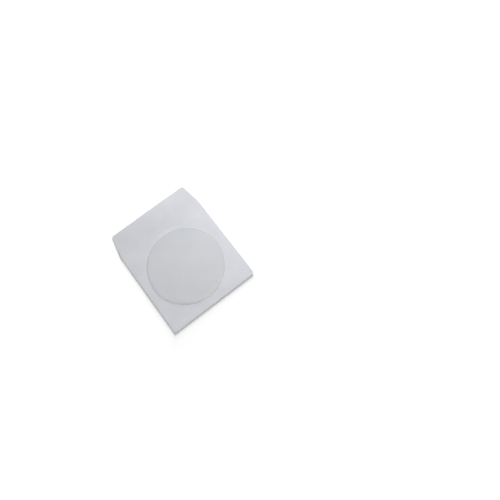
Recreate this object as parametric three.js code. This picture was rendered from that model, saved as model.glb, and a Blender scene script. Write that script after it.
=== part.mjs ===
// A paper sleeve for a disc: one die-cut sheet folded into a square pocket,
// with a round window, a clear film glued behind it and an open closing flap.
// It lies flat, window up. X is across the sleeve, +Y points to the flap, +Z is up.
// All sizes are in millimetres.

import * as THREE from 'three';

// Pocket
const pocketWidth = 125;
const pocketHeight = 125;
const paper = 0.12;
const glueLine = 0.02;
const pocketGap = 0.36;
const bowHeight = 1.0;
const bowRise = 84;

// Window and its film
const windowDiameter = 101.6;
const windowShiftX = -2;
const windowShiftY = -1;
const filmLap = 6;
const film = 0.05;
const filmGlue = 0.04;

// Closing flap
const flapDepth = 28;
const flapTaper = 4.5;
const flapCorner = 3;
const flapSag = 0.3;

// Side tabs, glued inside the back panel
const tabWidth = 9;
const tabBottomGap = 3;
const tabTopGap = 4;
const tabSlant = 7;

// Back panel, folded up from the bottom edge
const backInset = 1.6;
const throatDrop = 5;
const throatCorner = 5;

// Facets
const columns = 16;
const rings = 4;
const foldSteps = 6;
const backRows = 8;
const flapRows = 5;
const cornerRows = 4;
const tabColumns = 2;
const filmCells = 14;
const leastSpacing = 1;
const samePlace = 1e-4;
const slopeStep = 0.01;

// Middle heights of the three layers, and the bend radii between them
const backLevel = paper / 2;
const tabLevel = backLevel + paper + glueLine;
const frontLevel = tabLevel + paper + pocketGap;
const tabBend = (frontLevel - tabLevel) / 2;
const bottomBend = (frontLevel - backLevel) / 2;

// The crease lines of the sheet. The folds reach out to the stated pocket size.
const sideCrease = pocketWidth / 2 - tabBend - paper / 2;
const bottomCrease = -(pocketHeight / 2 - bottomBend - paper / 2);
const throat = pocketHeight / 2;
const backHalf = sideCrease - backInset;
const windowRadius = windowDiameter / 2;

const smooth = (t) => t * t * (3 - 2 * t);
const clamp01 = (t) => Math.min(1, Math.max(0, t));

// How far the front panel bows up over the empty pocket. It is level along the creases.
function bow(x, y) {
  const across = 1 - (x / sideCrease) ** 2;
  return bowHeight * across * across * smooth(clamp01((y - bottomCrease) / bowRise));
}

// Height of the sheet's middle over the front panel and down the open flap
function frontHeight(x, y) {
  if (y <= throat) return frontLevel + bow(x, y);
  const along = (y - throat) / flapDepth;
  const fall = (1 - along) * (1 - flapSag * along);
  return backLevel + (frontLevel + bow(x, throat) - backLevel) * fall;
}

// A point of the sheet: its middle and the direction of its outer side
function frontPoint(x, y) {
  const along = y > throat ? slopeStep : -slopeStep;
  const rise = frontHeight(x + slopeStep, y) - frontHeight(x - slopeStep, y);
  const slopeX = rise / (2 * slopeStep);
  const slopeY = (frontHeight(x, y + along) - frontHeight(x, y)) / along;
  return {
    middle: new THREE.Vector3(x, y, frontHeight(x, y)),
    normal: new THREE.Vector3(-slopeX, -slopeY, 1).normalize(),
  };
}

// A point of a side tab, past the crease on the side that sign gives
function tabPoint(sign, turn, inward, y) {
  const x = sideCrease + tabBend * Math.sin(turn) - inward;
  const z = frontLevel - tabBend * (1 - Math.cos(turn));
  return {
    middle: new THREE.Vector3(sign * x, y, z),
    normal: new THREE.Vector3(sign * Math.sin(turn), 0, Math.cos(turn)),
  };
}

// A point of the bottom fold and the back panel
function backPoint(x, turn, upward) {
  const y = bottomCrease - bottomBend * Math.sin(turn) + upward;
  const z = frontLevel - bottomBend * (1 - Math.cos(turn));
  return {
    middle: new THREE.Vector3(x, y, z),
    normal: new THREE.Vector3(0, -Math.sin(turn), Math.cos(turn)),
  };
}

// A sheet of even thickness, made of four-sided cells on its middle surface
class Sheet {
  constructor(thickness) {
    this.half = thickness / 2;
    this.points = [];
    this.found = new Map();
    this.cells = [];
  }

  // The number of a point, shared by all cells that meet there
  add({ middle, normal }) {
    const key = middle.toArray().map((v) => Math.round(v / samePlace)).join(' ');
    if (!this.found.has(key)) {
      this.found.set(key, this.points.length);
      this.points.push({ middle, normal });
    }
    return this.found.get(key);
  }

  // Fills a grid of points. The rows run so that the outer side faces the reader.
  fill(grid) {
    const numbers = grid.map((row) => row.map((point) => this.add(point)));
    for (let i = 0; i + 1 < numbers.length; i++) {
      for (let j = 0; j + 1 < numbers[i].length; j++) {
        const near = numbers[i];
        const far = numbers[i + 1];
        this.cells.push([near[j], near[j + 1], far[j + 1], far[j]]);
      }
    }
  }

  // Both faces of every cell, and a wall along each edge that only one cell has
  geometry() {
    const count = this.points.length;
    const at = (side) => this.points.flatMap(({ middle, normal }) =>
      middle.clone().addScaledVector(normal, side * this.half).toArray());
    const index = [];
    const edges = new Map();
    for (const cell of this.cells) {
      const [a, b, c, d] = cell;
      index.push(a, b, c, a, c, d);
      index.push(a + count, c + count, b + count, a + count, d + count, c + count);
      cell.forEach((from, k) => edges.set(`${from} ${cell[(k + 1) % 4]}`, [from, cell[(k + 1) % 4]]));
    }
    for (const [from, to] of edges.values()) {
      if (edges.has(`${to} ${from}`)) continue;
      index.push(from, from + count, to + count, from, to + count, to);
    }
    const made = new THREE.BufferGeometry();
    made.setAttribute('position', new THREE.Float32BufferAttribute([...at(1), ...at(-1)], 3));
    made.setIndex(index);
    made.computeVertexNormals();
    return made;
  }
}

// Even steps from one value to another, both ends included
function steps(from, to, count) {
  return Array.from({ length: count + 1 }, (_, i) => from + ((to - from) * i) / count);
}

// Positions from -1 to 1 that divide the window's circle evenly
const spread = steps(-Math.PI / 4, Math.PI / 4, columns).map(Math.tan);

// Positions along a panel side of that half length, with the two given stops among them
function sidePoints(low, high, lowStop, highStop) {
  const centre = (low + high) / 2;
  const half = (high - low) / 2;
  const inner = spread.slice(1, -1).map((s) => centre + half * s);
  const clear = (y) => y > lowStop + leastSpacing && y < highStop - leastSpacing;
  return [low, lowStop, ...inner.filter(clear), highStop, high];
}

// How far a rounded corner pulls the side in, at a distance from the end of the panel
function cornerPull(distance, radius) {
  if (distance >= radius) return 0;
  return radius - Math.sqrt(radius ** 2 - (radius - distance) ** 2);
}

// Rows towards the end of a panel, closer together round its corner
function rowsToEnd(length, radius, count) {
  const plain = steps(0, length - radius, count);
  const round = steps(0, Math.PI / 2, cornerRows).slice(1);
  return [...plain, ...round.map((turn) => length - radius + radius * Math.sin(turn))];
}

const crossings = sidePoints(-sideCrease, sideCrease, -backHalf, backHalf);
const sideRows = sidePoints(
  bottomCrease, throat, bottomCrease + tabBottomGap, throat - tabTopGap);
const backColumns = crossings.slice(1, -1);
const tabRows = sideRows.slice(1, -1);

// The front panel, as rings between its outline and the round window
function addFront(sheet) {
  const outline = [
    ...crossings.slice(0, -1).map((x) => [x, bottomCrease]),
    ...sideRows.slice(0, -1).map((y) => [sideCrease, y]),
    ...crossings.slice(1).reverse().map((x) => [x, throat]),
    ...sideRows.slice(1).reverse().map((y) => [-sideCrease, y]),
  ];
  outline.push(outline[0]);
  const grid = steps(0, 1, rings).map((share) => outline.map(([x, y]) => {
    const inward = windowRadius / Math.hypot(x - windowShiftX, y - windowShiftY);
    const scale = 1 + (inward - 1) * share;
    return frontPoint(
      windowShiftX + (x - windowShiftX) * scale,
      windowShiftY + (y - windowShiftY) * scale);
  }));
  sheet.fill(grid);
}

function addFlap(sheet) {
  const rows = rowsToEnd(flapDepth, flapCorner, flapRows);
  sheet.fill(rows.map((along) => {
    const half = sideCrease - flapTaper * (along / flapDepth)
      - cornerPull(flapDepth - along, flapCorner);
    return crossings.map((x) => frontPoint((x * half) / sideCrease, throat + along));
  }));
}

function addBack(sheet) {
  const panelLength = throat - throatDrop - bottomCrease;
  const fold = steps(0, Math.PI, foldSteps).map((turn) => [turn, 0]);
  const panel = rowsToEnd(panelLength, throatCorner, backRows).slice(1);
  const rows = [...fold, ...panel.map((upward) => [Math.PI, upward])];
  sheet.fill(rows.reverse().map(([turn, upward]) => {
    const half = backHalf - cornerPull(panelLength - upward, throatCorner);
    return backColumns.map((x) => backPoint((x * half) / backHalf, turn, upward));
  }));
}

function addTab(sheet, sign) {
  const centre = (tabRows[0] + tabRows[tabRows.length - 1]) / 2;
  const halfLength = tabRows[tabRows.length - 1] - centre;
  const fold = steps(0, Math.PI, foldSteps).map((turn) => [turn, 0]);
  const flat = steps(0, tabWidth, tabColumns).slice(1).map((inward) => [Math.PI, inward]);
  const grid = [...fold, ...flat].map(([turn, inward]) => {
    const shorter = 1 - (tabSlant * inward) / tabWidth / halfLength;
    return tabRows.map((y) => tabPoint(sign, turn, inward, centre + (y - centre) * shorter));
  });
  sheet.fill(sign > 0 ? grid.reverse() : grid);
}

function foldedPaper() {
  const sheet = new Sheet(paper);
  addFront(sheet);
  addFlap(sheet);
  addBack(sheet);
  addTab(sheet, 1);
  addTab(sheet, -1);
  return sheet.geometry();
}

// The film follows the inside of the front panel
function windowFilm() {
  const sheet = new Sheet(film);
  const depth = paper / 2 + filmGlue + film / 2;
  const across = steps(-windowRadius - filmLap, windowRadius + filmLap, filmCells);
  sheet.fill(across.map((y) => across.map((x) => {
    const { middle, normal } = frontPoint(windowShiftX + x, windowShiftY + y);
    return { middle: middle.addScaledVector(normal, -depth), normal };
  })));
  return sheet.geometry();
}

function meshOf(name, geometry, material) {
  const made = new THREE.Mesh(geometry, material);
  made.name = name;
  return made;
}

const whitePaper = new THREE.MeshStandardMaterial({
  color: 0xd6d9de, roughness: 0.85, metalness: 0 });
const clearFilm = new THREE.MeshStandardMaterial({
  color: 0xe4e8ea, roughness: 0.15, metalness: 0, transparent: true, opacity: 0.35 });

// The origin is under the middle of the sleeve's outline, flap included
const sleeve = new THREE.Group();
sleeve.position.y = -flapDepth / 2;
sleeve.add(meshOf('folded_paper', foldedPaper(), whitePaper));
sleeve.add(meshOf('window_film', windowFilm(), clearFilm));

export default sleeve;
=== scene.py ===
"""A paper disc sleeve lying flat with its flap open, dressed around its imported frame.

The folded sheet and its window film are made again as fine meshes, on nearly the same middle
surfaces. The waves, the fuller bow, the pressed rim and the lifted flap are under 1 mm.
Shapes are worked out in millimetres from the middle of the pocket, and placed in metres.
"""

import math

import bpy
import numpy as np
from mathutils import Matrix, Vector


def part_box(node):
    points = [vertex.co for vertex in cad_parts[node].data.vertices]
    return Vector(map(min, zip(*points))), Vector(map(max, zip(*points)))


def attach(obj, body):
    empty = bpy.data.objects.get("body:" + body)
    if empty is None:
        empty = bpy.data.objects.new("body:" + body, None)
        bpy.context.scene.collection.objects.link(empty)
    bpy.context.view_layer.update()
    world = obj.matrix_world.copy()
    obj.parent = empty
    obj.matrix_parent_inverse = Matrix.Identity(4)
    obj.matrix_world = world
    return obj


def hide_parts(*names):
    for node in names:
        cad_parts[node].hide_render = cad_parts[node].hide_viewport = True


MM = 0.001

# Sheet and film, in millimetres
PAPER = 0.12
GLUE_LINE = 0.02
POCKET_GAP = 0.36
BOW_HEIGHT = 1.0
BOW_RISE = 84.0
BOW_POWER = 4
WINDOW_DIAMETER = 101.6
WINDOW_SHIFT = (-2.0, -1.0)
FILM = 0.03
FILM_GLUE = 0.02
FILM_LAP = 6.0

# Closing flap, side tabs and back panel, in millimetres
FLAP_DEPTH = 28.0
FLAP_TAPER = 4.5
FLAP_CORNER = 3.0
FLAP_SAG = 0.22
TAB_WIDTH = 9.0
TAB_BOTTOM_GAP = 3.0
TAB_TOP_GAP = 4.0
TAB_SLANT = 7.0
BACK_INSET = 1.6
THROAT_DROP = 5.0
THROAT_CORNER = 5.0

# How the real sheet departs from the plain folded one, in millimetres
LIP_DEPTH = 0.17
LIP_WIDTH = 1.6
CREASE_HEIGHT = 0.05
CREASE_WIDTH = 0.9
DROOP = 0.33
DROOP_WIDTH = 15.0
COCKLE_HEIGHT = 0.24
COCKLE_MARGIN = 9.0
GHOST_HEIGHT = 0.03
GHOST_WIDTH = 1.8
CURL_HEIGHT = 0.9
CURL_POWER = 2.5
CURL_LEVEL = 0.55
CURL_SWING = 0.45
FILM_WAVE = 0.16
FILM_WAVE_MARGIN = 5.0

# Waves: the millimetres over which each turns by one radian, and its phase in radians
SLOW_ACROSS = 15.0
SLOW_ACROSS_PHASE = 0.6
SLOW_ALONG = 21.0
SLOW_ALONG_PHASE = 1.1
QUICK_SHARE = 0.5
QUICK_ACROSS = 8.5
QUICK_ALONG = 12.0
QUICK_PHASE = 2.0
CURL_ACROSS = 26.0
CURL_PHASE = 0.9
FILM_ACROSS = 6.0
FILM_SLANT = 19.0
FILM_ALONG = 9.0
FILM_PHASE = 0.7

# Mesh density
COLUMNS = 64
RINGS = 56
FOLD_STEPS = 12
BACK_ROWS = 60
FLAP_ROWS = 36
CORNER_ROWS = 10
TAB_COLUMNS = 5
FILM_CELLS = 110
ROW_CLOSENESS = 1.5
LEAST_SPACING = 0.25
SAME_PLACE = 1e-4
SLOPE_STEP = 0.01
SHARP_ANGLE = math.radians(50)

# Colours, as linear values, and how much of the film shows
PAPER_LIGHT = (0.745, 0.76, 0.80, 1)
PAPER_DARK = (0.69, 0.705, 0.74, 1)
# Painted shade: the grey that folds and cut edges are multiplied by where they face sideways
PAINTED_SHADE_GREY = (0.5, 0.5, 0.51, 1)
WHITE = (1, 1, 1, 1)
FLECK_TONE = (0.945, 0.945, 0.95, 1)
LEAST_ROUGH = (0.78, 0.78, 0.78, 1)
MOST_ROUGH = (0.94, 0.94, 0.94, 1)
PAPER_SPECULAR = 0.03
FILM_TINT = (0.92, 0.935, 0.94, 1)
FILM_HAZE = 1.05
FILM_ALPHA = 0.19
FILM_GRAZING = 0.4
GRAZING_BLEND = 0.5
GRAZING_POWER = 4.0
FILM_ROUGHNESS = 0.15
FILM_IOR = 2.4

# Camera, floor and light: places in metres, sensor and lens in millimetres
CAMERA_PLACE = (0.00928, -0.16173, 0.57108)
CAMERA_AIM = (0.07657, -0.04924, 0.0)
CAMERA_ROLL = math.radians(-6.67)
SENSOR = 36.0
LENS = 32.4
CLIP_START = 0.01
FLOOR_HALF = 3.0
FLOOR_DROP = 0.00002
NEAR_GLOW = 0.18
FAR_GLOW = 1.0
GLOW_STARTS = 0.11
GLOW_ENDS = 0.30
WORLD_LEVEL = 0.267

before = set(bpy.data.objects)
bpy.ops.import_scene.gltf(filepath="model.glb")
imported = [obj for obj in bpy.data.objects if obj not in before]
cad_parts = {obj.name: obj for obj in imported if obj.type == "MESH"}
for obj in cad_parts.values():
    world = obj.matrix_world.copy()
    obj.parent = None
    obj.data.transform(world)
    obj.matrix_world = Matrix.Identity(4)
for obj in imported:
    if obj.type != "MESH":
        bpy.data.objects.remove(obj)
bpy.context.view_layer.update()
sheet_low, sheet_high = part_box("folded_paper")

# The pocket's size and middle come from the frame
POCKET_WIDTH = (sheet_high.x - sheet_low.x) / MM
POCKET_HEIGHT = (sheet_high.y - sheet_low.y) / MM - FLAP_DEPTH
POCKET_MIDDLE = Vector((0, sheet_high.y - (FLAP_DEPTH + POCKET_HEIGHT / 2) * MM, 0))

# Middle heights of the three layers, the bends between them and the crease lines
BACK_LEVEL = PAPER / 2
TAB_LEVEL = BACK_LEVEL + PAPER + GLUE_LINE
FRONT_LEVEL = TAB_LEVEL + PAPER + POCKET_GAP
TAB_BEND = (FRONT_LEVEL - TAB_LEVEL) / 2
BOTTOM_BEND = (FRONT_LEVEL - BACK_LEVEL) / 2
SIDE_CREASE = POCKET_WIDTH / 2 - TAB_BEND - PAPER / 2
BOTTOM_CREASE = -(POCKET_HEIGHT / 2 - BOTTOM_BEND - PAPER / 2)
THROAT = POCKET_HEIGHT / 2
BACK_HALF = SIDE_CREASE - BACK_INSET
WINDOW_RADIUS = WINDOW_DIAMETER / 2


def smooth(t):
    """A soft step from 0 to 1."""
    t = np.clip(t, 0, 1)
    return t * t * (3 - 2 * t)


def from_window(x, y):
    """Distance from the window's middle."""
    return np.hypot(x - WINDOW_SHIFT[0], y - WINDOW_SHIFT[1])


def off_sides(x):
    """0 along the side creases and 1 away from them."""
    return smooth((SIDE_CREASE - np.abs(x)) / COCKLE_MARGIN)


def cockle(x, y):
    """The slow waves that paper takes up from the air, none along the creases."""
    inside = off_sides(x) * smooth((y - BOTTOM_CREASE) / COCKLE_MARGIN)
    slow = np.sin(x / SLOW_ACROSS + SLOW_ACROSS_PHASE) * np.sin(y / SLOW_ALONG + SLOW_ALONG_PHASE)
    quick = QUICK_SHARE * np.sin(x / QUICK_ACROSS - y / QUICK_ALONG + QUICK_PHASE)
    return COCKLE_HEIGHT * inside * (slow + quick)


def film_ghost(x, y):
    """The film's square outline, which presses through the sheet as a faint step."""
    reach = np.maximum(np.abs(x - WINDOW_SHIFT[0]), np.abs(y - WINDOW_SHIFT[1]))
    return GHOST_HEIGHT * smooth((WINDOW_RADIUS + FILM_LAP - reach) / GHOST_WIDTH)


def curl(x, along):
    """The free edge of the flap, which lifts unevenly off the floor."""
    uneven = CURL_LEVEL + CURL_SWING * np.sin(x / CURL_ACROSS + CURL_PHASE)
    return CURL_HEIGHT * along**CURL_POWER * uneven


def droop(x, y):
    """How far the front panel has already sunk towards the flap's soft crease."""
    near = np.clip(1 - (THROAT - y) / DROOP_WIDTH, 0, 1)
    return DROOP * near**2 * off_sides(x)


def bow(x, y):
    """How far the front panel bows up over the empty pocket."""
    across = 1 - (x / SIDE_CREASE) ** BOW_POWER
    return BOW_HEIGHT * across * across * smooth((y - BOTTOM_CREASE) / BOW_RISE)


def front_height(x, y):
    """Height of the sheet's middle over the front panel and down the open flap."""
    inner = np.minimum(y, THROAT)
    panel = FRONT_LEVEL + bow(x, inner) - droop(x, inner)
    along = np.clip((y - THROAT) / FLAP_DEPTH, 0, 1)
    fall = (1 - along) * (1 - FLAP_SAG * along)
    plain = BACK_LEVEL + (panel - BACK_LEVEL) * fall
    lip = LIP_DEPTH * np.exp(-(((from_window(x, y) - WINDOW_RADIUS) / LIP_WIDTH) ** 2))
    crease = CREASE_HEIGHT * np.exp(-(((y - THROAT) / CREASE_WIDTH) ** 2))
    crease *= off_sides(x)
    waves = cockle(x, y) * smooth(1 - along) + curl(x, along)
    return plain - lip + crease + waves + film_ghost(x, y)


def front_points(x, y):
    """Points of the sheet's middle and the directions of its outer side."""
    x = np.asarray(x, float)
    y = np.asarray(y, float)
    z = front_height(x, y)
    rise = front_height(x + SLOPE_STEP, y) - front_height(x - SLOPE_STEP, y)
    slope_x = rise / (2 * SLOPE_STEP)
    ahead = np.where(y > THROAT, SLOPE_STEP, -SLOPE_STEP)
    slope_y = (front_height(x, y + ahead) - z) / ahead
    normal = np.stack([-slope_x, -slope_y, np.ones_like(x)], -1)
    normal /= np.linalg.norm(normal, axis=-1, keepdims=True)
    return np.stack([x, y, z], -1), normal


def tab_points(sign, turn, inward, y):
    """Points of a side tab, past the crease on the side that sign gives."""
    y = np.asarray(y, float)
    flat = np.ones_like(y)
    x = sign * (SIDE_CREASE + TAB_BEND * math.sin(turn) - inward)
    z = FRONT_LEVEL - TAB_BEND * (1 - math.cos(turn))
    normal = np.stack([sign * math.sin(turn) * flat, 0 * flat, math.cos(turn) * flat], -1)
    return np.stack([x * flat, y, z * flat], -1), normal


def back_points(x, turn, upward):
    """Points of the bottom fold and the back panel."""
    x = np.asarray(x, float)
    flat = np.ones_like(x)
    y = BOTTOM_CREASE - BOTTOM_BEND * math.sin(turn) + upward
    z = FRONT_LEVEL - BOTTOM_BEND * (1 - math.cos(turn))
    normal = np.stack([0 * flat, -math.sin(turn) * flat, math.cos(turn) * flat], -1)
    return np.stack([x, y * flat, z * flat], -1), normal


class Sheet:
    """A sheet of even thickness, made of four-sided cells on its middle surface."""

    def __init__(self, thickness):
        self.half = thickness / 2
        self.middles = []
        self.normals = []
        self.found = {}
        self.cells = []

    def add(self, middle, normal):
        """The number of a point, shared by all cells that meet there."""
        key = tuple(round(float(v) / SAME_PLACE) for v in middle)
        if key not in self.found:
            self.found[key] = len(self.middles)
            self.middles.append(middle)
            self.normals.append(normal)
        return self.found[key]

    def fill(self, rows):
        """Fills a grid of rows of points, which run so that the outer side faces the reader."""
        numbers = [[self.add(m, n) for m, n in zip(*row)] for row in rows]
        for near, far in zip(numbers, numbers[1:]):
            for j in range(len(near) - 1):
                self.cells.append((near[j], near[j + 1], far[j + 1], far[j]))

    def make(self, name):
        """A closed mesh of both faces, with a wall along each edge that only one cell has."""
        middles = np.array(self.middles)
        normals = np.array(self.normals)
        count = len(middles)
        co = np.vstack([middles + normals * self.half, middles - normals * self.half])
        faces = list(self.cells)
        faces += [tuple(i + count for i in reversed(cell)) for cell in self.cells]
        edges = {(cell[k], cell[(k + 1) % 4]) for cell in self.cells for k in range(4)}
        for a, b in sorted(edges):
            if (b, a) not in edges:
                faces.append((a, a + count, b + count, b))
        mesh = bpy.data.meshes.new(name)
        mesh.from_pydata((co * MM + np.array(POCKET_MIDDLE)).tolist(), [], faces)
        mesh.update()
        mesh.shade_smooth()
        mesh.set_sharp_from_angle(angle=SHARP_ANGLE)
        obj = bpy.data.objects.new(name, mesh)
        bpy.context.scene.collection.objects.link(obj)
        return obj


def side_points(low, high, low_stop, high_stop):
    """Positions along a panel side, closer at its middle, with two stops among them."""
    spread = np.tan(np.linspace(-math.pi / 4, math.pi / 4, COLUMNS + 1))[1:-1]
    inner = (low + high) / 2 + (high - low) / 2 * spread
    inner = inner[(inner > low_stop + LEAST_SPACING) & (inner < high_stop - LEAST_SPACING)]
    return np.concatenate([[low, low_stop], inner, [high_stop, high]])


def corner_pull(distance, radius):
    """How far a rounded corner pulls the side in, at a distance from the end of the panel."""
    if distance >= radius:
        return 0.0
    return radius - math.sqrt(radius**2 - (radius - distance) ** 2)


def rows_to_end(length, radius, count):
    """Rows from a fold to the end of a panel, closer at the fold and round the corner."""
    plain = (length - radius) * np.linspace(0, 1, count + 1) ** ROW_CLOSENESS
    turns = np.linspace(0, math.pi / 2, CORNER_ROWS + 1)[1:]
    return np.concatenate([plain, length - radius + radius * np.sin(turns)])


CROSSINGS = side_points(-SIDE_CREASE, SIDE_CREASE, -BACK_HALF, BACK_HALF)
SIDE_ROWS = side_points(
    BOTTOM_CREASE, THROAT, BOTTOM_CREASE + TAB_BOTTOM_GAP, THROAT - TAB_TOP_GAP)


def add_front(sheet):
    """The front panel, as rings between its outline and the round window."""
    bottom = [(x, BOTTOM_CREASE) for x in CROSSINGS[:-1]]
    right = [(SIDE_CREASE, y) for y in SIDE_ROWS[:-1]]
    top = [(x, THROAT) for x in CROSSINGS[:0:-1]]
    left = [(-SIDE_CREASE, y) for y in SIDE_ROWS[:0:-1]]
    outline = np.array(bottom + right + top + left + bottom[:1])
    centre = np.array(WINDOW_SHIFT)
    arms = outline - centre
    rim = centre + arms * WINDOW_RADIUS / np.linalg.norm(arms, axis=1, keepdims=True)
    shares = 0.5 - 0.5 * np.cos(np.linspace(0, math.pi, RINGS + 1))
    sheet.fill([front_points(*(outline + (rim - outline) * share).T) for share in shares])


def add_flap(sheet):
    """The closing flap, which tapers to its rounded corners."""
    rows = []
    for along in rows_to_end(FLAP_DEPTH, FLAP_CORNER, FLAP_ROWS):
        tapered = SIDE_CREASE - FLAP_TAPER * along / FLAP_DEPTH
        half = tapered - corner_pull(FLAP_DEPTH - along, FLAP_CORNER)
        x = CROSSINGS * half / SIDE_CREASE
        rows.append(front_points(x, np.full_like(x, THROAT + along)))
    sheet.fill(rows)


def add_back(sheet):
    """The bottom fold and the back panel."""
    length = THROAT - THROAT_DROP - BOTTOM_CREASE
    fold = [(turn, 0.0) for turn in np.linspace(0, math.pi, FOLD_STEPS + 1)]
    panel = [(math.pi, upward) for upward in rows_to_end(length, THROAT_CORNER, BACK_ROWS)[1:]]
    rows = []
    for turn, upward in reversed(fold + panel):
        half = BACK_HALF - corner_pull(length - upward, THROAT_CORNER)
        rows.append(back_points(CROSSINGS[1:-1] * half / BACK_HALF, turn, upward))
    sheet.fill(rows)


def add_tab(sheet, sign):
    """The fold and the side tab on the side that sign gives."""
    y = SIDE_ROWS[1:-1]
    centre = (y[0] + y[-1]) / 2
    half_length = y[-1] - centre
    fold = [(turn, 0.0) for turn in np.linspace(0, math.pi, FOLD_STEPS + 1)]
    flat = [(math.pi, inward) for inward in np.linspace(0, TAB_WIDTH, TAB_COLUMNS + 1)[1:]]
    rows = []
    for turn, inward in fold + flat:
        shorter = 1 - TAB_SLANT * inward / TAB_WIDTH / half_length
        rows.append(tab_points(sign, turn, inward, centre + (y - centre) * shorter))
    sheet.fill(rows[::-1] if sign > 0 else rows)


def folded_sheet():
    """The whole folded sheet of paper, as one piece."""
    sheet = Sheet(PAPER)
    add_front(sheet)
    add_flap(sheet)
    add_back(sheet)
    add_tab(sheet, 1)
    add_tab(sheet, -1)
    return sheet.make("sleeve_paper")


def window_pane():
    """The film, glued under the front panel round the window and a little wavy inside it."""
    sheet = Sheet(FILM)
    depth = PAPER / 2 + FILM_GLUE + FILM / 2
    across = np.linspace(-WINDOW_RADIUS - FILM_LAP, WINDOW_RADIUS + FILM_LAP, FILM_CELLS + 1)
    rows = []
    for step in across:
        x = WINDOW_SHIFT[0] + across
        y = np.full_like(x, WINDOW_SHIFT[1] + step)
        middle, normal = front_points(x, y)
        free = smooth((WINDOW_RADIUS - from_window(x, y)) / FILM_WAVE_MARGIN)
        wave = np.sin(x / FILM_ACROSS + y / FILM_SLANT) * np.sin(y / FILM_ALONG - FILM_PHASE)
        middle = middle - normal * depth
        middle[:, 2] += FILM_WAVE * free * wave
        rows.append((middle, normal))
    sheet.fill(rows)
    return sheet.make("window_pane")


def shader_nodes(name):
    """A new material, with its nodes, links and Principled shader."""
    material = bpy.data.materials.new(name)
    material.use_nodes = True
    nodes = material.node_tree.nodes
    return material, nodes, material.node_tree.links, nodes["Principled BSDF"]


def noise(nodes, links, scale, detail, stretch=(1, 1, 1)):
    """A noise in the object's own metres, finer along a direction with a larger stretch."""
    place = nodes.new("ShaderNodeTexCoord")
    mapping = nodes.new("ShaderNodeMapping")
    mapping.inputs["Scale"].default_value = stretch
    texture = nodes.new("ShaderNodeTexNoise")
    texture.inputs["Scale"].default_value = scale
    texture.inputs["Detail"].default_value = detail
    links.new(place.outputs["Object"], mapping.inputs["Vector"])
    links.new(mapping.outputs["Vector"], texture.inputs["Vector"])
    return texture.outputs["Fac"]


def ramp(nodes, links, value, low, high, first, last):
    """Colours from first to last as a value goes from low to high."""
    node = nodes.new("ShaderNodeValToRGB")
    start, end = node.color_ramp.elements
    start.position = low
    start.color = first
    end.position = high
    end.color = last
    links.new(value, node.inputs["Fac"])
    return node.outputs["Color"]


def bump(nodes, links, height, strength, distance, under=None):
    """A relief from a value, over another relief where one is given. Distance is in metres."""
    node = nodes.new("ShaderNodeBump")
    node.inputs["Strength"].default_value = strength
    node.inputs["Distance"].default_value = distance
    links.new(height, node.inputs["Height"])
    if under is not None:
        links.new(under, node.inputs["Normal"])
    return node.outputs["Normal"]


def times(nodes, links, first, second):
    """The product of two colours."""
    mixed = nodes.new("ShaderNodeMix")
    mixed.data_type = "RGBA"
    mixed.blend_type = "MULTIPLY"
    mixed.inputs["Factor"].default_value = 1.0
    links.new(first, mixed.inputs["A"])
    links.new(second, mixed.inputs["B"])
    return mixed.outputs["Result"]


def painted_edge_shade(nodes, links):
    """Painted shade on folds and cut edges: faces that turn sideways are made greyer, to hold
    down the low lamps' glint on them.
    """
    place = nodes.new("ShaderNodeTexCoord")
    split = nodes.new("ShaderNodeSeparateXYZ")
    level = nodes.new("ShaderNodeMath")
    level.operation = "ABSOLUTE"
    links.new(place.outputs["Normal"], split.inputs["Vector"])
    links.new(split.outputs["Z"], level.inputs[0])
    upright = level.outputs["Value"]
    return ramp(nodes, links, upright, low=0.3, high=0.95, first=PAINTED_SHADE_GREY, last=WHITE)


def paper_finish():
    """White writing paper: cloudy fibres, a fine tooth and a dull surface."""
    material, nodes, links, shader = shader_nodes("white_paper")
    clouds = noise(nodes, links, scale=45, detail=6)
    fibres = noise(nodes, links, scale=1400, detail=4, stretch=(1, 0.35, 1))
    tooth = noise(nodes, links, scale=3200, detail=2)
    cloudy = ramp(nodes, links, clouds, low=0.25, high=0.75, first=PAPER_DARK, last=PAPER_LIGHT)
    flecks = ramp(nodes, links, fibres, low=0.3, high=0.6, first=FLECK_TONE, last=WHITE)
    face = times(nodes, links, cloudy, flecks)
    # The faces' colour times the painted shade on folds and cut edges
    links.new(times(nodes, links, face, painted_edge_shade(nodes, links)), shader.inputs["Base Color"])
    rough = ramp(nodes, links, fibres, low=0.2, high=0.8, first=LEAST_ROUGH, last=MOST_ROUGH)
    links.new(rough, shader.inputs["Roughness"])
    relief = bump(nodes, links, fibres, strength=0.6, distance=0.00005)
    relief = bump(nodes, links, tooth, strength=0.25, distance=0.00002, under=relief)
    links.new(relief, shader.inputs["Normal"])
    shader.inputs["Specular IOR Level"].default_value = PAPER_SPECULAR
    return material


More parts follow.
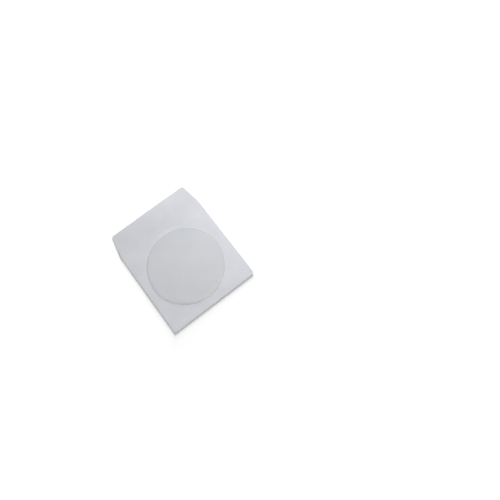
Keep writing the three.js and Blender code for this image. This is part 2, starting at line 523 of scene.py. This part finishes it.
def film_finish():
    """Clear film with a little haze, glossy, rippled, and less clear at a grazing angle."""
    material, nodes, links, shader = shader_nodes("clear_film")
    haze = noise(nodes, links, scale=60, detail=3)
    ripple = noise(nodes, links, scale=85, detail=2, stretch=(1, 0.3, 1))
    lighter = tuple(min(1, c * FILM_HAZE) for c in FILM_TINT[:3]) + (1,)
    hazy = ramp(nodes, links, haze, low=0.3, high=0.7, first=FILM_TINT, last=lighter)
    links.new(hazy, shader.inputs["Base Color"])
    rippled = bump(nodes, links, ripple, strength=0.8, distance=0.0005)
    links.new(rippled, shader.inputs["Normal"])
    grazing = nodes.new("ShaderNodeLayerWeight")
    grazing.inputs["Blend"].default_value = GRAZING_BLEND
    steep = nodes.new("ShaderNodeMath")
    steep.operation = "POWER"
    steep.inputs[1].default_value = GRAZING_POWER
    shown = nodes.new("ShaderNodeMath")
    shown.operation = "MULTIPLY_ADD"
    shown.inputs[1].default_value = FILM_GRAZING
    shown.inputs[2].default_value = FILM_ALPHA
    links.new(rippled, grazing.inputs["Normal"])
    links.new(grazing.outputs["Facing"], steep.inputs[0])
    links.new(steep.outputs["Value"], shown.inputs[0])
    links.new(shown.outputs["Value"], shader.inputs["Alpha"])
    shader.inputs["Roughness"].default_value = FILM_ROUGHNESS
    shader.inputs["IOR"].default_value = FILM_IOR
    return material


def dress(piece, node, material):
    """Gives a piece its finish, and lets it stand for its node of the frame."""
    piece.data.materials.append(material)
    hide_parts(node)
    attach(piece, "root")


def any_of(nodes, links, values):
    """The largest of some values from 0 to 1."""
    result = values[0]
    for value in values[1:]:
        node = nodes.new("ShaderNodeMath")
        node.operation = "MAXIMUM"
        links.new(result, node.inputs[0])
        links.new(value, node.inputs[1])
        result = node.outputs["Value"]
    return result


def seen_rays(nodes, links):
    """1 for the rays that show the background itself: camera, glossy and transmission rays."""
    path = nodes.new("ShaderNodeLightPath")
    kinds = ("Is Camera Ray", "Is Glossy Ray", "Is Transmission Ray")
    return any_of(nodes, links, [path.outputs[kind] for kind in kinds])


def make_world(level):
    """Plain light from all round, and white where the background is seen."""
    world = bpy.data.worlds.new("studio")
    bpy.context.scene.world = world
    world.use_nodes = True
    nodes = world.node_tree.nodes
    links = world.node_tree.links
    nodes.clear()
    light = nodes.new("ShaderNodeBackground")
    light.inputs["Strength"].default_value = level
    white = nodes.new("ShaderNodeBackground")
    white.inputs["Strength"].default_value = 1.0
    for node in (light, white):
        node.inputs["Color"].default_value = WHITE
    mix = nodes.new("ShaderNodeMixShader")
    out = nodes.new("ShaderNodeOutputWorld")
    links.new(seen_rays(nodes, links), mix.inputs["Fac"])
    links.new(light.outputs["Background"], mix.inputs[1])
    links.new(white.outputs["Background"], mix.inputs[2])
    links.new(mix.outputs["Shader"], out.inputs["Surface"])


def floor_glow(nodes, links):
    """How much the floor is lifted to plain white where it is seen, more away from the sleeve."""
    place = nodes.new("ShaderNodeTexCoord")
    far = nodes.new("ShaderNodeVectorMath")
    far.operation = "LENGTH"
    spread = nodes.new("ShaderNodeMapRange")
    spread.interpolation_type = "SMOOTHSTEP"
    spread.inputs["From Min"].default_value = GLOW_STARTS
    spread.inputs["From Max"].default_value = GLOW_ENDS
    spread.inputs["To Min"].default_value = NEAR_GLOW
    spread.inputs["To Max"].default_value = FAR_GLOW
    strength = nodes.new("ShaderNodeMath")
    strength.operation = "MULTIPLY"
    links.new(place.outputs["Object"], far.inputs[0])
    links.new(far.outputs["Value"], spread.inputs["Value"])
    links.new(seen_rays(nodes, links), strength.inputs[0])
    links.new(spread.outputs["Result"], strength.inputs[1])
    return strength.outputs["Value"]


def make_floor():
    """A white floor that keeps the sleeve's shadow and is clear from below."""
    mesh = bpy.data.meshes.new("floor")
    corners = [(-1, -1), (1, -1), (1, 1), (-1, 1)]
    points = [(x * FLOOR_HALF, y * FLOOR_HALF, -FLOOR_DROP) for x, y in corners]
    mesh.from_pydata(points, [], [(0, 1, 2, 3)])
    floor = bpy.data.objects.new("floor", mesh)
    bpy.context.scene.collection.objects.link(floor)
    material = bpy.data.materials.new("floor_white")
    material.use_nodes = True
    nodes = material.node_tree.nodes
    links = material.node_tree.links
    nodes.clear()
    diffuse = nodes.new("ShaderNodeBsdfDiffuse")
    diffuse.inputs["Color"].default_value = WHITE
    emission = nodes.new("ShaderNodeEmission")
    both = nodes.new("ShaderNodeAddShader")
    side = nodes.new("ShaderNodeNewGeometry")
    clear = nodes.new("ShaderNodeBsdfTransparent")
    mix = nodes.new("ShaderNodeMixShader")
    out = nodes.new("ShaderNodeOutputMaterial")
    links.new(floor_glow(nodes, links), emission.inputs["Strength"])
    links.new(diffuse.outputs["BSDF"], both.inputs[0])
    links.new(emission.outputs["Emission"], both.inputs[1])
    links.new(side.outputs["Backfacing"], mix.inputs["Fac"])
    links.new(both.outputs["Shader"], mix.inputs[1])
    links.new(clear.outputs["BSDF"], mix.inputs[2])
    links.new(mix.outputs["Shader"], out.inputs["Surface"])
    mesh.materials.append(material)
    return floor


def collection(name, objects):
    """A collection of some objects, for light linking."""
    made = bpy.data.collections.new(name)
    for obj in objects:
        made.objects.link(obj)
    return made


def make_lamp(name, azimuth, elevation, distance, size, energy, lit, shades):
    """A square soft lamp that points at the origin.

    It lights only the objects in lit, and only those in shades throw a shadow in its light.
    The angles are in degrees, with azimuth 0 at +X and 90 at +Y, and the energy is in watts.
    """
    a = math.radians(azimuth)
    e = math.radians(elevation)
    away = Vector((math.cos(a) * math.cos(e), math.sin(a) * math.cos(e), math.sin(e)))
    data = bpy.data.lights.new(name, "AREA")
    data.shape = "SQUARE"
    data.size = size
    data.energy = energy
    lamp = bpy.data.objects.new(name, data)
    lamp.location = away * distance
    lamp.rotation_mode = "QUATERNION"
    lamp.rotation_quaternion = (-away).to_track_quat("-Z", "Y")
    bpy.context.scene.collection.objects.link(lamp)
    lamp.light_linking.receiver_collection = collection(name + "_lights", lit)
    lamp.light_linking.blocker_collection = collection(name + "_shades", shades)


def make_camera():
    """The camera of the main view."""
    data = bpy.data.cameras.new("camera")
    data.sensor_width = SENSOR
    data.lens = LENS
    data.clip_start = CLIP_START
    camera = bpy.data.objects.new("camera", data)
    place = Vector(CAMERA_PLACE)
    aim = Vector(CAMERA_AIM) - place
    turn = aim.to_track_quat("-Z", "Y").to_matrix() @ Matrix.Rotation(CAMERA_ROLL, 3, "Z")
    camera.matrix_world = Matrix.Translation(place) @ turn.to_4x4()
    bpy.context.scene.collection.objects.link(camera)
    bpy.context.scene.camera = camera


paper = folded_sheet()
pane = window_pane()
dress(paper, "folded_paper", paper_finish())
dress(pane, "window_film", film_finish())

make_camera()
make_world(WORLD_LEVEL)
floor = make_floor()
everything = [paper, pane, floor]

# The paper doesn't shade the key lamp, so the window's upper rim has no dark line
for name, azimuth, elevation, distance, size, energy, lit, shades in (
    ("floor_lamp", 53, 7, 3.0, 0.8, 460.0, [floor], everything),
    ("key_lamp", 16, 46, 0.41, 0.2, 0.91, [paper, pane], [pane]),
    ("low_lamp", 212, 13, 3.0, 0.4, 74.0, [paper, pane], everything),
    ("cross_lamp", 300, 13, 3.0, 0.4, 31.0, [paper], everything),
    ("flap_sheen", 147, 29, 1.2, 0.45, 0.9, [pane], everything),
    ("corner_sheen", 303, 18, 1.2, 0.45, 0.34, [pane], everything),
):
    make_lamp(name, azimuth, elevation, distance, size, energy, lit, shades)

scene = bpy.context.scene
scene.view_settings.view_transform = "Standard"
